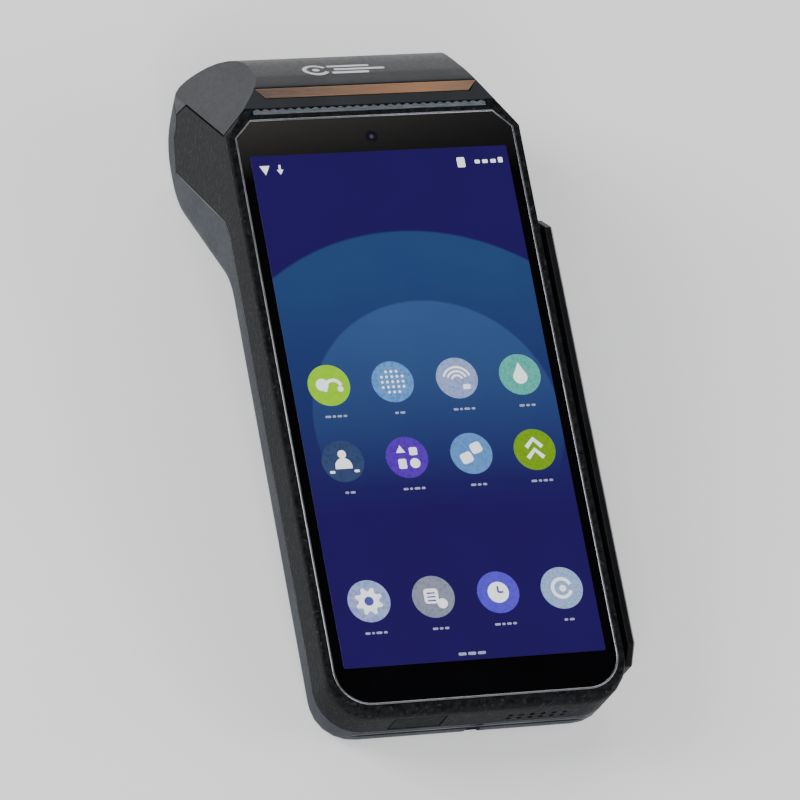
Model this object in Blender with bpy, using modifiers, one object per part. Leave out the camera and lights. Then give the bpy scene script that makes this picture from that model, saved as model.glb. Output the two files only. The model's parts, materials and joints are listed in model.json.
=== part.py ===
"""Handheld card payment terminal with a receipt printer in its raised head.

Sizes are in millimetres in the terminal's own frame, and become metres when a mesh is made: the origin is the
middle of the screen, x runs to the right, y towards the printer head and z out of the screen.
The empty "terminal" then tilts that frame, so that the terminal rests on its feet with Z up.
"""
import math

import bmesh
import bpy
from mathutils import Matrix, Vector

MM = 0.001
GAP = 0.3                 # between neighbouring pieces
CUTTER_TWIST = 0.1        # radians, so that no edge of a round cutter lies along an edge of what it cuts

# Outer shell
HALF_WIDTH = 35.8
WALL = 1.9
CORNER_RADIUS = 10.0      # lower corners, seen from the front
EDGE_RADIUS = 3.5         # long back edges
FRONT_EDGE_RADIUS = 0.9
CHORD_ERROR = 0.07
SIDE_PROFILE = (          # y, z, bend radius
    (-74.0, 0.0, 2.5),
    (81.3, 0.0, 8.0),
    (93.3, -12.6, 30.0),
    (97.2, -27.5, 18.0),
    (87.1, -46.0, 13.0),
    (70.0, -46.0, 18.0),
    (38.0, -18.0, 10.0),
    (-74.0, -18.0, 3.0),
)
HEAD_BEND, LOWER_BEND = 5, 7          # the two bends that the terminal lies on
SHOULDER_POINT = Vector((35.8, 68.9, -2.4))
SHOULDER_NORMAL = Vector((0.740, 0.520, 0.426)).normalized()
FOOT_HEIGHT = 0.8
BOX_CENTRE_X = 1.5        # the swipe rail makes the right side wider

# Seams between the three shells
REAR_SEAM = ((-95.0, -10.5), (47.5, -10.5), (51.4, -12.0), (57.9, -19.1), (65.6, -27.8),
             (76.3, -39.8), (79.1, -38.5), (83.7, -36.8), (89.4, -37.6), (99.0, -43.5))
DOOR_SEAM = ((60.0, 8.45), (68.9, -2.4), (86.7, -24.1), (87.9, -32.0), (88.3, -38.2),
             (89.4, -37.4), (99.0, -43.2))
SEAM_STEP = 0.12          # the door's edge stands this far past the crease of its shoulders
PAPER_EXIT_Y = 74.3
EXIT_HALF_WIDTH = 30.4

# Screen
GLASS_HALF_WIDTH = 33.6
GLASS_Y = (-70.9, 71.2)
GLASS_THICKNESS = 1.0
PANEL_Y = (-66.0, 63.4)
PANEL_HALF_WIDTH = 31.9

# Printer
HINGE_YZ = (89.4, -37.4)
BARREL_RADIUS = 2.4
BARREL_HALF = 33.2
EAR_RADIUS = 5.3
PIN_RADIUS = 1.2
ROLL_YZ = (75.5, -27.2)
ROLL_RADIUS = 14.0
ROLL_HALF = 28.5
PLATEN_YZ = (76.6, -9.2)
PLATEN_RADIUS = 3.4
PLATEN_HALF = 24.2
MODULE = 0.5
ADDENDUM, DEDENDUM = 0.3, 0.4
TOOTH_SHARE = 0.38        # of the pitch, so that the train runs with free play
GEAR_X = (25.8, 27.3)
IDLER_YZ = (69.10, -8.25)
TRANSFER_YZ = (58.90, -11.15)
MOTOR_YZ = (52.45, -15.95)
PLATEN_TEETH, IDLER_TEETH, TRANSFER_TEETH, PINION_TEETH = 12, 18, 24, 8

# Lower body
BATTERY_DOOR_X = 26.0
BATTERY_DOOR_Y = (-28.0, 26.0)
CARD_SLOT_Z = (-13.4, -12.2)
CARD_HALF_WIDTH = 27.4
NOTCH_X = 1.5
RAIL_Y = (-65.0, 45.7)
RAIL_X = (36.1, 38.8)
RAIL_SLOT_X = 37.1
RAIL_Z = (-16.0, -0.8)
USB_FLAP_X = (-20.0, -8.0)
USB_FLAP_Z = (-9.7, -3.6)
END_Y = -74.0
SCREW_SPOTS = ((-30.1, -58.0), (30.1, -58.0), (-30.1, 34.0), (30.1, 34.0))

for old in list(bpy.data.objects):
    bpy.data.objects.remove(old, do_unlink=True)

PART = bpy.data.collections.new("card_payment_terminal")
CUTTERS = bpy.data.collections.new("cutters")
for made in (PART, CUTTERS):
    bpy.context.scene.collection.children.link(made)


# ---------------------------------------------------------------- materials

def material(name, color, roughness, metallic=0.0):
    made_material = bpy.data.materials.new(name)
    made_material.use_nodes = True
    shader = made_material.node_tree.nodes["Principled BSDF"]
    shader.inputs["Base Color"].default_value = (*color, 1.0)
    shader.inputs["Roughness"].default_value = roughness
    shader.inputs["Metallic"].default_value = metallic
    return made_material


BLACK_PLASTIC = ((0.020, 0.021, 0.024), 0.55)
HOOD_GREY = ((0.085, 0.088, 0.096), 0.45)
SHELL_GREY = ((0.070, 0.080, 0.098), 0.40)
COPPER = ((0.52, 0.29, 0.17), 0.30, 1.0)
GLASS_BLACK = ((0.008, 0.008, 0.012), 0.08)
SCREEN_BLUE = ((0.020, 0.030, 0.120), 0.25)
ALUMINIUM = ((0.55, 0.56, 0.58), 0.40, 1.0)
STEEL = ((0.50, 0.50, 0.52), 0.30, 1.0)
BRASS = ((0.60, 0.44, 0.18), 0.35, 1.0)
RUBBER = ((0.025, 0.025, 0.027), 0.85)
BOARD_GREEN = ((0.015, 0.110, 0.050), 0.50)
PAPER = ((0.85, 0.84, 0.80), 0.80)
CARDBOARD = ((0.36, 0.26, 0.16), 0.85)
WHITE_PLASTIC = ((0.72, 0.72, 0.70), 0.45)
BATTERY_BLUE = ((0.030, 0.075, 0.180), 0.45)
CERAMIC = ((0.45, 0.45, 0.43), 0.35)
LENS = ((0.010, 0.012, 0.030), 0.05)


# ---------------------------------------------------------------- placing

def bend_centre(index):
    """Centre of the arc that rounds one corner of the side profile."""
    y, z, radius = SIDE_PROFILE[index]
    corner = Vector((y, z))
    before = (Vector(SIDE_PROFILE[index - 1][:2]) - corner).normalized()
    after = (Vector(SIDE_PROFILE[(index + 1) % len(SIDE_PROFILE)][:2]) - corner).normalized()
    half_angle = before.angle(after) / 2
    return corner + (before + after).normalized() * radius / math.sin(half_angle)


def rest_tilt():
    """Angle of the common tangent under the head's bend and the lower bend."""
    span = bend_centre(HEAD_BEND) - bend_centre(LOWER_BEND)
    radius_difference = SIDE_PROFILE[HEAD_BEND][2] - SIDE_PROFILE[LOWER_BEND][2]
    return math.asin(radius_difference / span.length) + math.atan2(-span.y, span.x)


TILT = rest_tilt()


def rested(y, z):
    """Where a point of the side profile lies after the tilt."""
    return (y * math.cos(TILT) - z * math.sin(TILT), y * math.sin(TILT) + z * math.cos(TILT))


def rest_offset(profile):
    """Shift that centres the tilted terminal over the origin and puts its feet at Z = 0."""
    depths = [rested(y, z)[0] for y, z in profile]
    lower = bend_centre(LOWER_BEND)
    lowest = rested(lower.x, lower.y)[1] - SIDE_PROFILE[LOWER_BEND][2]
    return Vector((-BOX_CENTRE_X, -(min(depths) + max(depths)) / 2, FOOT_HEIGHT - lowest))


def rounded_outline(corners):
    """Closed outline through (u, v, radius) corners, each rounded by an arc of short chords."""
    points = []
    count = len(corners)
    for index, (u, v, radius) in enumerate(corners):
        corner = Vector((u, v))
        if radius == 0:
            points.append((u, v))
            continue
        before = (Vector(corners[index - 1][:2]) - corner).normalized()
        after = (Vector(corners[(index + 1) % count][:2]) - corner).normalized()
        half_angle = before.angle(after) / 2
        centre = corner + (before + after).normalized() * radius / math.sin(half_angle)
        start = corner + before * radius / math.tan(half_angle) - centre
        turn = math.pi - 2 * half_angle
        if before.x * after.y - before.y * after.x > 0:
            turn = -turn
        steps = max(2, round(abs(turn) / (2 * math.acos(1 - CHORD_ERROR / max(radius, 0.5)))))
        for step in range(steps + 1):
            angle = turn * step / steps
            spoke = Matrix.Rotation(angle, 2) @ start
            points.append((centre.x + spoke.x, centre.y + spoke.y))
    return points


PROFILE = rounded_outline(SIDE_PROFILE)

ROOT = bpy.data.objects.new("terminal", None)
PART.objects.link(ROOT)
ROOT.rotation_euler = (TILT, 0.0, 0.0)
ROOT.location = rest_offset(PROFILE) * MM


def add_object(name, mesh, look=None, pivot=(0.0, 0.0, 0.0), smooth=False):
    """Links a mesh made in millimetres; a moving piece has its origin at pivot."""
    bmesh.ops.recalc_face_normals(mesh, faces=mesh.faces)
    if mesh.calc_volume(signed=True) < 0:
        bmesh.ops.reverse_faces(mesh, faces=mesh.faces)
    mesh.transform(Matrix.Scale(MM, 4) @ Matrix.Translation(-Vector(pivot)))
    data = bpy.data.meshes.new(name)
    mesh.to_mesh(data)
    mesh.free()
    made_object = bpy.data.objects.new(name, data)
    made_object.parent = ROOT
    made_object.location = Vector(pivot) * MM
    if look is None:
        CUTTERS.objects.link(made_object)
        made_object.hide_render = True
        made_object.display_type = "WIRE"
    else:
        PART.objects.link(made_object)
        data.materials.append(material(name, *look))
    if smooth:
        data.shade_smooth()
        data.set_sharp_from_angle(angle=math.radians(32))
    return made_object


# ---------------------------------------------------------------- shapes

def box_mesh(low, high):
    mesh = bmesh.new()
    bmesh.ops.create_cube(mesh, size=1.0)
    low, high = Vector(low), Vector(high)
    size = high - low
    mesh.transform(Matrix.Translation((low + high) / 2) @ Matrix.Diagonal((*size, 1.0)))
    return mesh


def box(name, low, high, look=None, bevel=0.0, pivot=(0.0, 0.0, 0.0)):
    made_object = add_object(name, box_mesh(low, high), look, pivot)
    if bevel:
        rounding = made_object.modifiers.new("rounding", "BEVEL")
        rounding.width = bevel * MM
        rounding.segments = 2
    return made_object


def prism_mesh(points, axis, low, high):
    """Extrudes an outline: (y, z) points along X, (x, z) points along Y or (x, y) points along Z."""
    mesh = bmesh.new()
    places = {"X": lambda u, v: (low, u, v), "Y": lambda u, v: (u, low, v), "Z": lambda u, v: (u, v, low)}
    face = mesh.faces.new([mesh.verts.new(places[axis](u, v)) for u, v in points])
    swept = bmesh.ops.extrude_face_region(mesh, geom=[face])
    tops = [item for item in swept["geom"] if isinstance(item, bmesh.types.BMVert)]
    along = {"X": Vector((1, 0, 0)), "Y": Vector((0, 1, 0)), "Z": Vector((0, 0, 1))}[axis]
    bmesh.ops.translate(mesh, verts=tops, vec=along * (high - low))
    return mesh


def prism(name, points, axis, low, high, look=None, pivot=(0.0, 0.0, 0.0)):
    return add_object(name, prism_mesh(points, axis, low, high), look, pivot)


def turned(name, profile, axis, centre, look=None, steps=24, pivot=None):
    """Turns (distance along the axis, radius) points around an axis through centre."""
    mesh = bmesh.new()
    verts = [mesh.verts.new((along, radius, 0.0)) for along, radius in profile]
    ends = [radius < 1e-6 for _, radius in (profile[0], profile[-1])]
    pairs = list(zip(verts, verts[1:]))
    if not all(ends):
        pairs.append((verts[-1], verts[0]))
    edges = [mesh.edges.new(pair) for pair in pairs]
    bmesh.ops.spin(mesh, geom=verts + edges, cent=(0, 0, 0), axis=(1, 0, 0), dvec=(0, 0, 0),
                   angle=2 * math.pi, steps=steps, use_merge=True)
    bmesh.ops.remove_doubles(mesh, verts=mesh.verts, dist=1e-4)
    bmesh.ops.dissolve_limit(mesh, angle_limit=math.radians(0.3), verts=mesh.verts, edges=mesh.edges)
    turns = {"X": Matrix.Identity(4), "Y": Matrix.Rotation(math.pi / 2, 4, "Z"),
             "Z": Matrix.Rotation(-math.pi / 2, 4, "Y")}
    twist = Matrix.Rotation(CUTTER_TWIST if look is None else 0.0, 4, "X")
    mesh.transform(Matrix.Translation(Vector(centre)) @ turns[axis] @ twist)
    return add_object(name, mesh, look, centre if pivot is None else pivot, smooth=True)


def cylinder(name, axis, centre, radius, low, high, look=None, steps=24, chamfer=0.0, pivot=None):
    """Solid cylinder from low to high along its axis, measured from centre."""
    profile = [(low, 0.0), (low, radius - chamfer), (high, radius - chamfer), (high, 0.0)]
    if chamfer:
        profile[1:3] = [(low, radius - chamfer), (low + chamfer, radius),
                        (high - chamfer, radius), (high, radius - chamfer)]
    return turned(name, profile, axis, centre, look, steps, pivot)


def ring(name, axis, centre, outer, inner, low, high, look=None, steps=24, pivot=None):
    profile = [(low, inner), (low, outer), (high, outer), (high, inner)]
    return turned(name, profile, axis, centre, look, steps, pivot)


def combine(target, tool, operation):
    step = target.modifiers.new(operation.lower(), "BOOLEAN")
    step.operation = operation
    step.object = tool
    step.solver = "EXACT"


def subtract(target, *tools):
    for tool in tools:
        combine(target, tool, "DIFFERENCE")


def join(target, *tools):
    for tool in tools:
        combine(target, tool, "UNION")


# ---------------------------------------------------------------- outer shell

def outline_normals(points):
    """Outward mitre vector of each point of an outline that runs clockwise in (y, z)."""
    normals = []
    for index, point in enumerate(points):
        before = (Vector(point) - Vector(points[index - 1])).normalized()
        after = (Vector(points[(index + 1) % len(points)]) - Vector(point)).normalized()
        bisector = (Vector((-before.y, before.x)) + Vector((-after.y, after.x))).normalized()
        normals.append(bisector / max(0.3, bisector.dot(Vector((-after.y, after.x)))))
    return normals


def section_at(x, half_width, corner_radius, inset):
    """The side profile at one distance from the middle, drawn in at the sides and lower corners."""
    over = max(0.0, x - (half_width - corner_radius))
    corner_shift = corner_radius - math.sqrt(corner_radius ** 2 - min(over, corner_radius) ** 2)
    points = []
    for (y, z), normal in zip(PROFILE, outline_normals(PROFILE)):
        edge_radius = max(0.3, (FRONT_EDGE_RADIUS if z > -1.5 else EDGE_RADIUS) - inset)
        past = min(max(0.0, x - (half_width - edge_radius)), edge_radius)
        draw = edge_radius - math.sqrt(edge_radius ** 2 - past ** 2)
        at_end = y < -60
        shift_y = corner_shift if at_end else -normal.x * draw
        points.append((y - normal.x * inset + shift_y, z - normal.y * (inset + draw)))
    return points


def shell_body(name, inset, look=None):
    """Solid inside of the outer surface, drawn in by inset on every side."""
    half_width = HALF_WIDTH - inset
    corner_radius = CORNER_RADIUS - inset
    stations = [half_width - corner_radius * (1 - math.sin(math.radians(angle))) for angle in range(0, 91, 15)]
    mesh = bmesh.new()
    rings = []
    for x in [-station for station in reversed(stations)] + stations:
        section = section_at(abs(x), half_width, corner_radius, inset)
        rings.append([mesh.verts.new((x, y, z)) for y, z in section])
    for near, far in zip(rings, rings[1:]):
        for index in range(len(near)):
            after = (index + 1) % len(near)
            mesh.faces.new((near[index], near[after], far[after], far[index]))
    for cap in (rings[0], rings[-1]):
        mesh.faces.new(cap)
    for side in (-1, 1):
        normal = Vector((SHOULDER_NORMAL.x * side, SHOULDER_NORMAL.y, SHOULDER_NORMAL.z))
        point = Vector((SHOULDER_POINT.x * side, SHOULDER_POINT.y, SHOULDER_POINT.z)) - normal * inset
        cut = bmesh.ops.bisect_plane(mesh, geom=mesh.verts[:] + mesh.edges[:] + mesh.faces[:],
                                     plane_co=point, plane_no=normal, clear_outer=True, dist=1e-4)
        rim = [item for item in cut["geom_cut"] if isinstance(item, bmesh.types.BMEdge)]
        bmesh.ops.holes_fill(mesh, edges=rim, sides=0)
    bmesh.ops.remove_doubles(mesh, verts=mesh.verts, dist=1e-3)
    bmesh.ops.dissolve_limit(mesh, angle_limit=math.radians(0.3), verts=mesh.verts, edges=mesh.edges)
    return add_object(name, mesh, look, smooth=True)


def shifted(points, u, v):
    return [(point[0] + u, point[1] + v) for point in points]


def side_pair(name, low, high, radius):
    """A cylinder on the door's hinge line at each side of the head."""
    made_pair = []
    for side in (-1, 1):
        ends = sorted((side * low, side * high))
        made_pair.append(cylinder(f"{name}_{side}", "X", (0.0, *HINGE_YZ), radius, *ends, steps=32))
    return made_pair


def rear_region(name, lift, ear_start, ear_radius):
    """Everything that belongs to the rear housing: below its seam, and the two hinge ears."""
    outline = shifted(REAR_SEAM, 0.0, lift) + [(99.0, -60.0), (-95.0, -60.0)]
    region = prism(name, outline, "X", -45.0, 45.0)
    join(region, *side_pair(name + "_ear", ear_start, 45.0, ear_radius))
    return region


def door_region(name, play):
    """Everything that belongs to the printer door: outside of the front frame and above its seam."""
    outline = shifted(DOOR_SEAM, play, play) + [(115.0, -43.2), (115.0, 20.0), (60.0, 20.0)]
    region = prism(name, outline, "X", -45.0, 45.0)
    reach = 45.0 - EXIT_HALF_WIDTH
    y = PAPER_EXIT_Y + play
    frame = [(-45.0, y - reach), (-EXIT_HALF_WIDTH, y), (EXIT_HALF_WIDTH, y), (45.0, y - reach),
             (45.0, 115.0), (-45.0, 115.0)]
    combine(region, prism(name + "_plan", frame, "Z", -80.0, 20.0), "INTERSECT")
    return region


INSIDE = shell_body("inside", WALL)


def glass_outline(grow):
    """Front glass: rounded lower corners, cut upper corners."""
    x = GLASS_HALF_WIDTH + grow
    low, high = GLASS_Y[0] - grow, GLASS_Y[1] + grow
    cut = 4.2
    return rounded_outline([(-x, low, 8.0 + grow), (-x, high - cut, 0.0), (-x + cut, high, 0.0),
                            (x - cut, high, 0.0), (x, high - cut, 0.0), (x, low, 8.0 + grow)])


def front_housing():
    housing = shell_body("front_housing", 0.0, BLACK_PLASTIC)
    subtract(housing, INSIDE, door_region("door_clearance", SEAM_STEP - GAP),
             rear_region("rear_clearance", GAP, 33.45, EAR_RADIUS + GAP))
    subtract(housing,
             prism("glass_pocket", glass_outline(GAP), "Z", -GLASS_THICKNESS - GAP, 5.0),
             box("display_window", (-32.2, -66.4, -5.0), (32.2, 63.8, 1.0)),
             box("camera_notch", (-3.4, 60.0, -5.0), (1.2, 68.5, 1.0)),
             box("tear_bar_recess", (-28.7, 72.6, -1.2), (28.7, 76.0, 2.0)),
             box("head_window", (30.0, -0.4, -8.8), (37.0, 12.4, -2.6)),
             box("power_hole", (30.0, 58.7, -7.9), (37.0, 65.3, -4.1)),
             box("volume_hole", (30.0, 47.3, -7.9), (37.0, 56.7, -4.1)),
             cylinder("release_hole", "X", (34.0, 73.5, -22.0), 4.4, -3.0, 3.0, steps=28),
             box("flap_pocket", (USB_FLAP_X[0] - GAP, -80.0, USB_FLAP_Z[0] - 0.2),
                 (USB_FLAP_X[1] + GAP, -72.9, USB_FLAP_Z[1] + GAP)),
             box("usb_opening", (-18.8, -76.0, -8.3), (-9.2, -70.0, -4.6)))
    for row, z in enumerate((-6.6, -8.5)):
        for column in range(6):
            x = 8.2 + 2.6 * column
            hole = cylinder(f"speaker_hole_{row}_{column}", "Y", (x, END_Y, z), 0.65, -3.0, 4.0, steps=8)
            subtract(housing, hole)
    return housing


def rear_housing():
    housing = shell_body("rear_housing", 0.0, SHELL_GREY)
    subtract(housing, INSIDE)
    combine(housing, rear_region("rear_side", 0.0, 33.75, EAR_RADIUS), "INTERSECT")
    subtract(housing,
             cylinder("barrel_clearance", "X", (0.0, *HINGE_YZ), BARREL_RADIUS + 0.35, -33.6, 33.6, steps=32),
             *side_pair("ear_bore", 33.0, 35.2, PIN_RADIUS + 0.15),
             box("battery_opening", (-BATTERY_DOOR_X - GAP, BATTERY_DOOR_Y[0] - GAP, -20.0),
                 (BATTERY_DOOR_X + GAP, BATTERY_DOOR_Y[1] + GAP, -14.0)),
             box("latch_opening", (-5.4, BATTERY_DOOR_Y[0] - 9.6, -20.0),
                 (5.4, BATTERY_DOOR_Y[0] - 1.9, -14.0)),
             box("tongue_opening", (-4.0, BATTERY_DOOR_Y[0] - 3.0, -20.0),
                 (4.0, BATTERY_DOOR_Y[0] + 1.0, -14.0)),
             box("card_slot", (-CARD_HALF_WIDTH - 0.2, -80.0, CARD_SLOT_Z[0]),
                 (CARD_HALF_WIDTH + 0.2, -66.0, CARD_SLOT_Z[1])),
             box("finger_notch", (NOTCH_X - 1.75, -80.0, -17.0), (NOTCH_X + 1.75, -72.7, -10.8)),
             cylinder("camera_hole", "Z", (-20.0, 30.9, -16.0), 2.8, -4.0, 4.0),
             cylinder("flash_hole", "Z", (-12.0, 30.9, -16.0), 1.8, -4.0, 4.0, steps=16))
    for index, (x, y) in enumerate(SCREW_SPOTS):
        subtract(housing,
                 cylinder(f"screw_hole_{index}", "Z", (x, y, -16.0), 1.1, -4.0, 4.0, steps=12),
                 cylinder(f"screw_sink_{index}", "Z", (x, y, -17.1), 2.0, -3.0, 0.0, steps=16))
    for side in (-1, 1):
        subtract(housing, cylinder(f"foot_recess_{side}", "Z", (22.0 * side, -62.0, -17.2), 3.3, -3.0, 0.0))
    subtract(housing, head_pad("head_foot_recess", GAP))
    return housing


def printer_door():
    door = shell_body("printer_door", 0.0, HOOD_GREY)
    subtract(door, INSIDE)
    combine(door, door_region("door_side", SEAM_STEP), "INTERSECT")
    subtract(door, *side_pair("ear_clearance", 33.45, 45.0, EAR_RADIUS + GAP))
    join(door, cylinder("hinge_barrel", "X", (0.0, *HINGE_YZ), BARREL_RADIUS, -BARREL_HALF, BARREL_HALF,
                        steps=32))
    subtract(door, *side_pair("barrel_bore", 29.0, 34.0, PIN_RADIUS + 0.15),
             prism("trim_pocket", trim_outline(GAP), "Z", -1.05, 5.0))
    return door


def trim_outline(grow):
    """Metal strip with tapered ends."""
    x, low, high, taper = 27.0 + grow, 76.9 - grow, 79.3 + grow, 2.2
    return [(-x, high), (-x + taper, low), (x - taper, low), (x, high)]


# ---------------------------------------------------------------- feet

def ground_cutter():
    """Block below the surface that the terminal rests on."""
    ground = box("ground", (-60.0, -120.0, -30.0), (60.0, 120.0, 0.0))
    ground.parent = None
    return ground


def head_pad(name, grow, look=None):
    """Block under the head, square to the ground, that fills or cuts the head's foot."""
    bend = bend_centre(HEAD_BEND)
    y = rested(bend.x, bend.y)[0]
    height = SIDE_PROFILE[HEAD_BEND][2] - 0.9
    z = rested(bend.x, bend.y)[1] - height
    pad = box(name, (-18.0 - grow, y - 4.5 - grow, z - 6.0), (18.0 + grow, y + 4.5 + grow, z + grow), look)
    pad.rotation_euler = (-TILT, 0.0, 0.0)
    return pad


def feet():
    ground = ground_cutter()
    for side, name in ((-1, "lower_foot_left"), (1, "lower_foot_right")):
        foot = cylinder(name, "Z", (22.0 * side, -62.0, -17.5), 3.0, -5.0, 0.0, RUBBER)
        subtract(foot, ground)
    subtract(head_pad("head_foot", 0.0, RUBBER), ground)


# ---------------------------------------------------------------- front of the body

def front_stack():
    prism("cover_glass", glass_outline(0.0), "Z", -GLASS_THICKNESS, 0.0, GLASS_BLACK)
    box("display_panel", (-PANEL_HALF_WIDTH, PANEL_Y[0], -3.0), (PANEL_HALF_WIDTH, PANEL_Y[1], -1.3),
        SCREEN_BLUE)
    cylinder("front_camera", "Z", (-1.1, 66.1, -3.0), 1.7, -1.4, 1.6, LENS, steps=20, chamfer=0.3)
    prism("copper_trim", trim_outline(0.0), "Z", -0.75, -0.05, COPPER)


def tear_bar():
    """Serrated strip in the front frame's upper edge."""
    count, low, high, y, tooth = 28, -28.4, 28.4, 73.8, 0.55
    pitch = (high - low) / count
    saw = []
    for index in range(count):
        saw += [(low + pitch * index, y), (low + pitch * (index + 0.5), y + tooth)]
    prism("tear_bar", saw + [(high, y), (high, 72.9), (low, 72.9)], "Z", -0.9, -0.2, STEEL)


def mid_frame():
    """Die-cast plate behind the display with a screw post in each corner."""
    frame = box("mid_frame", (-31.9, -66.0, -4.6), (31.9, 44.0, -3.4), ALUMINIUM)
    for index, (x, y) in enumerate(SCREW_SPOTS):
        join(frame, cylinder(f"post_{index}", "Z", (x, y, 0.0), 1.8, -15.7, -4.0, steps=16))
        subtract(frame, cylinder(f"post_bore_{index}", "Z", (x, y, 0.0), 0.95, -17.0, -6.0, steps=12))
    subtract(frame, box("head_notch", (29.0, -3.0, -6.0), (33.0, 15.0, -2.0)))


def screws():
    for index, (x, y) in enumerate(SCREW_SPOTS):
        profile = [(-17.9, 0.0), (-17.9, 1.7), (-17.3, 1.7), (-17.3, 0.75), (-10.0, 0.75), (-10.0, 0.0)]
        turned(f"housing_screw_{index + 1}", profile, "Z", (x, y, 0.0), STEEL, steps=12)


def boards():
    box("main_board", (-27.5, -60.0, -7.4), (27.5, 44.0, -6.2), BOARD_GREEN)
    box("shield_can", (-20.0, 4.0, -9.3), (12.0, 38.0, -7.7), STEEL)
    box("sim_socket", (-24.0, -20.0, -9.3), (-9.0, -3.0, -7.7), STEEL)
    box("sam_socket", (-5.0, -20.0, -9.3), (10.0, -3.0, -7.7), STEEL)
    cylinder("coin_cell", "Z", (20.0, 20.0, 0.0), 5.0, -9.3, -7.7, STEEL)
    cylinder("vibration_motor", "X", (0.0, 36.5, -13.0), 2.2, -26.0, -16.0, STEEL, steps=16)
    ring_outline("contactless_antenna", (-24.0, -57.0), (24.0, -26.0), 1.4, -5.7, -5.0, COPPER)


def ring_outline(name, low, high, width, bottom, top, look):
    """Flat rectangular loop."""
    loop = box(name, (*low, bottom), (*high, top), look)
    subtract(loop, box(name + "_window", (low[0] + width, low[1] + width, bottom - 1),
                       (high[0] - width, high[1] - width, top + 1)))


def card_reader():
    """Chip card reader with its slot open at the lower end."""
    reader = box("chip_card_reader", (-28.0, -68.0, -15.0), (28.0, -31.0, -10.9), WHITE_PLASTIC)
    subtract(reader, box("reader_slot", (-CARD_HALF_WIDTH, -70.0, CARD_SLOT_Z[0] - 0.1),
                         (CARD_HALF_WIDTH, -34.0, CARD_SLOT_Z[1] + 0.1)))


def battery():
    box("battery_pack", (-25.0, -26.5, -15.7), (25.0, 25.0, -9.7), BATTERY_BLUE, bevel=0.6)
    pivot = (0.0, BATTERY_DOOR_Y[1], -18.0)
    box("battery_door", (-BATTERY_DOOR_X, BATTERY_DOOR_Y[0], -18.0),
        (BATTERY_DOOR_X, BATTERY_DOOR_Y[1], -16.4), SHELL_GREY, pivot=pivot)
    latch = box("battery_latch", (-5.0, BATTERY_DOOR_Y[0] - 6.6, -18.0), (5.0, BATTERY_DOOR_Y[0] - 2.4, -16.4),
                BLACK_PLASTIC, pivot=(0.0, BATTERY_DOOR_Y[0] - 4.5, -17.0))
    join(latch, box("latch_tongue", (-3.6, BATTERY_DOOR_Y[0] - 4.0, -17.6), (3.6, BATTERY_DOOR_Y[0] - 0.4, -16.9)))


def rear_camera():
    cylinder("rear_camera", "Z", (-20.0, 30.9, 0.0), 2.5, -17.9, -12.5, LENS, steps=20, chamfer=0.4)
    cylinder("flash_lens", "Z", (-12.0, 30.9, 0.0), 1.5, -17.9, -15.0, WHITE_PLASTIC, steps=16)


def lower_end():
    box("speaker", (7.0, -70.9, -9.4), (23.0, -63.0, -4.9), BLACK_PLASTIC)
    port = box("usb_port", (-18.5, -71.0, -8.0), (-9.5, -64.0, -4.9), STEEL)
    subtract(port, box("usb_cavity", (-18.0, -72.0, -7.5), (-10.0, -66.0, -5.4)))
    box("usb_flap", (USB_FLAP_X[0], END_Y + 0.05, USB_FLAP_Z[0]), (USB_FLAP_X[1], -73.1, USB_FLAP_Z[1]),
        RUBBER, pivot=(0.0, END_Y, USB_FLAP_Z[0]))


def swipe_rail():
    """Channel for the stripe of a card, open at the top and at both ends."""
    low, high = RAIL_Y
    outline = [(low, RAIL_Z[0]), (high, RAIL_Z[0]), (high, -6.0), (high - 4.0, RAIL_Z[1]),
               (low + 4.0, RAIL_Z[1]), (low, -5.0)]
    rail = prism("swipe_rail", outline, "X", *RAIL_X, BLACK_PLASTIC)
    subtract(rail, box("swipe_slot", (30.0, low - 5.0, -14.6), (RAIL_SLOT_X, high + 5.0, 5.0)))


def magnetic_head():
    box("magnetic_head", (31.8, 0.0, -8.4), (36.3, 12.0, -3.3), STEEL, bevel=0.5)
    box("magnetic_head_spring", (29.6, 2.0, -7.0), (30.0, 10.0, -5.0), BRASS)


def buttons():
    box("power_button", (34.2, 59.0, -7.6), (36.5, 65.0, -4.4), BLACK_PLASTIC, bevel=0.4,
        pivot=(35.3, 62.0, -6.0))
    box("volume_rocker", (34.2, 47.6, -7.6), (36.5, 56.4, -4.4), BLACK_PLASTIC, bevel=0.4,
        pivot=(34.6, 52.0, -6.0))
    cylinder("door_release_button", "X", (34.3, 73.5, -22.0), 4.1, -1.8, 2.0, COPPER, steps=28, chamfer=0.4)


# ---------------------------------------------------------------- printer

def gear_outline(teeth, centre, phase):
    """Straight-flanked teeth; phase is the direction of one tooth."""
    pitch_radius = MODULE * teeth / 2
    root, tip = pitch_radius - DEDENDUM, pitch_radius + ADDENDUM
    pitch_angle = 2 * math.pi / teeth
    points = []
    for tooth in range(teeth):
        middle = phase + tooth * pitch_angle
        for radius, share in ((root, -1.5), (tip, -0.7), (tip, 0.7), (root, 1.5)):
            angle = middle + share * TOOTH_SHARE / 2 * pitch_angle
            points.append((centre[0] + radius * math.cos(angle), centre[1] + radius * math.sin(angle)))
    return points


def direction(start, end):
    return math.atan2(end[1] - start[1], end[0] - start[0])


def mesh_phase(driver, driver_teeth, driver_phase, driven, driven_teeth):
    """Phase that puts a space of the driven gear at the driver's tooth on the line of centres."""
    line = direction(driver, driven)
    off_tooth = ((line - driver_phase) / (2 * math.pi) * driver_teeth) % 1.0
    driven_off = 0.5 - off_tooth
    return line + math.pi - driven_off * 2 * math.pi / driven_teeth


def gear(name, teeth, centre, phase, bore, look, x=GEAR_X):
    wheel = prism(name, gear_outline(teeth, centre, phase), "X", *x, look, pivot=(0.0, *centre))
    subtract(wheel, cylinder(name + "_bore", "X", (0.0, *centre), bore, x[0] - 1, x[1] + 1, steps=16))
    return wheel


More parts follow.
